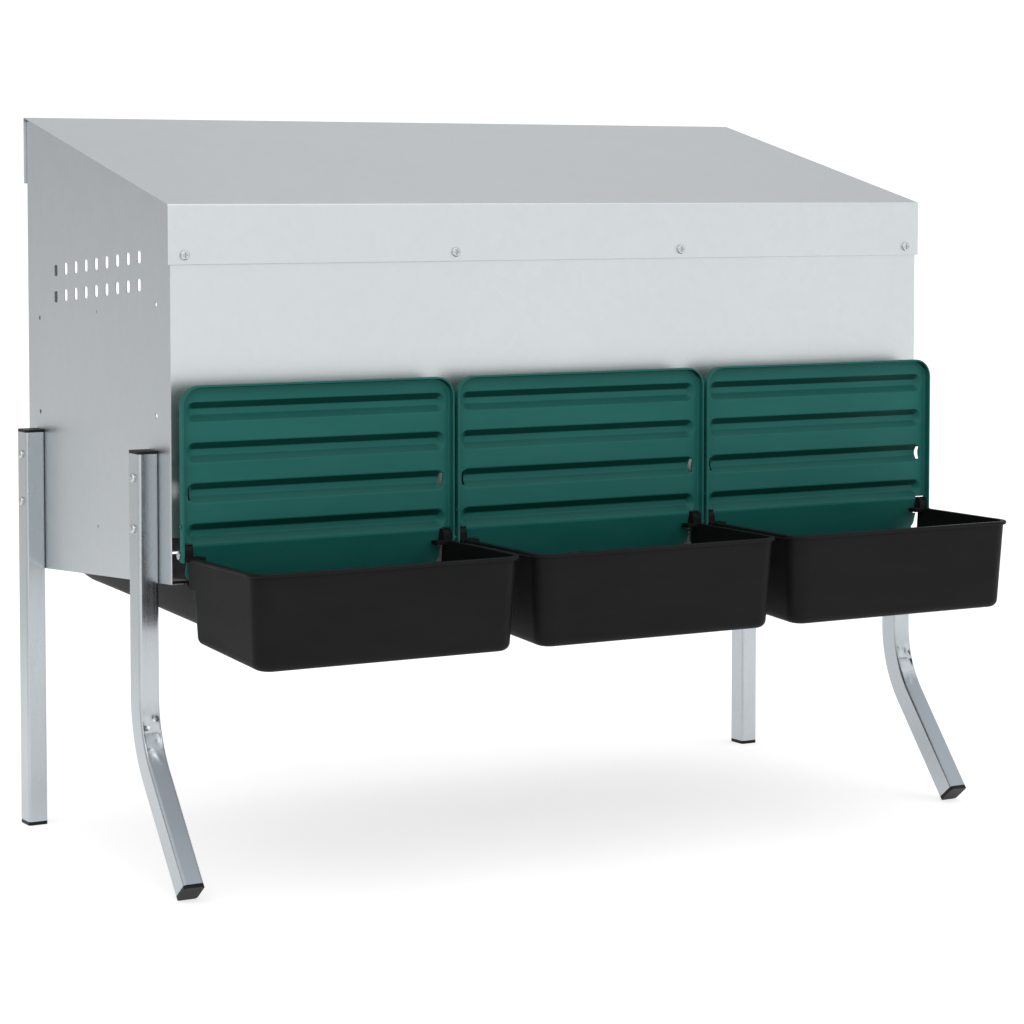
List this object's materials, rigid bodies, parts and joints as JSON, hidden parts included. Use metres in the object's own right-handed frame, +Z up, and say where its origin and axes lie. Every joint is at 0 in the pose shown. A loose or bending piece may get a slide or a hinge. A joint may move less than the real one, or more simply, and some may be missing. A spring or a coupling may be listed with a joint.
{
  "type": "nesting box",
  "caption": "Roll-away laying nest on four tube legs: sheet-steel hutch with sloping roof, open rear, vented sides, and egg trays under folding ribbed lids along the front.",
  "frame": {"origin": "on the floor, at the middle of the object's footprint", "axes": "+X along the row of nests, to the right seen from the egg trays; +Y to the rear, where the hens go in; +Z up"},
  "size_m": [0.9804, 0.5786, 0.7785],
  "materials": {
    "galvanised_sheet": "satin galvanised sheet",
    "zinc_tube": "bright zinc-plated tube",
    "zinc_screws": "bright zinc-plated",
    "green_plastic": "semi-gloss moulded plastic",
    "black_plastic": "satin moulded plastic",
    "black_caps": "satin moulded plastic"
  },
  "bodies": {
    "nest_box": {"roof_panel": "galvanised_sheet", "side_panel_left": "galvanised_sheet", "side_panel_right": "galvanised_sheet", "front_panel": "galvanised_sheet", "partition_left": "galvanised_sheet", "partition_right": "galvanised_sheet", "tray_rail_left": "galvanised_sheet", "tray_rail_right": "galvanised_sheet", "rear_sill": "galvanised_sheet", "roof_screws_front": "zinc_screws", "roof_screws_rear": "zinc_screws", "sill_screws": "zinc_screws", "leg_bolts": "zinc_screws", "leg_nuts": "zinc_screws", "leg_front_left": "zinc_tube", "leg_rear_left": "zinc_tube", "leg_cap_front_left": "black_caps", "leg_cap_rear_left": "black_caps", "foot_front_left": "black_caps", "foot_rear_left": "black_caps", "leg_front_right": "zinc_tube", "leg_rear_right": "zinc_tube", "leg_cap_front_right": "black_caps", "leg_cap_rear_right": "black_caps", "foot_front_right": "black_caps", "foot_rear_right": "black_caps", "nest_tray_1": "black_plastic", "lid_hinge_pins_1": "zinc_screws", "nest_tray_2": "black_plastic", "lid_hinge_pins_2": "zinc_screws", "nest_tray_3": "black_plastic", "lid_hinge_pins_3": "zinc_screws"},
    "lid_1": {"egg_lid_1": "green_plastic"},
    "lid_2": {"egg_lid_2": "green_plastic"},
    "lid_3": {"egg_lid_3": "green_plastic"}
  },
  "joints": [
    {"name": "lid_1_hinge", "type": "hinge", "parent": "nest_box", "child": "lid_1", "pos_m": [-0.312, -0.1248, 0.3365], "axis": [1, 0, 0], "range_deg": [0, 90]},
    {"name": "lid_2_hinge", "type": "hinge", "parent": "nest_box", "child": "lid_2", "pos_m": [0, -0.1248, 0.3365], "axis": [1, 0, 0], "range_deg": [0, 90]},
    {"name": "lid_3_hinge", "type": "hinge", "parent": "nest_box", "child": "lid_3", "pos_m": [0.312, -0.1248, 0.3365], "axis": [1, 0, 0], "range_deg": [0, 90]}
  ]
}
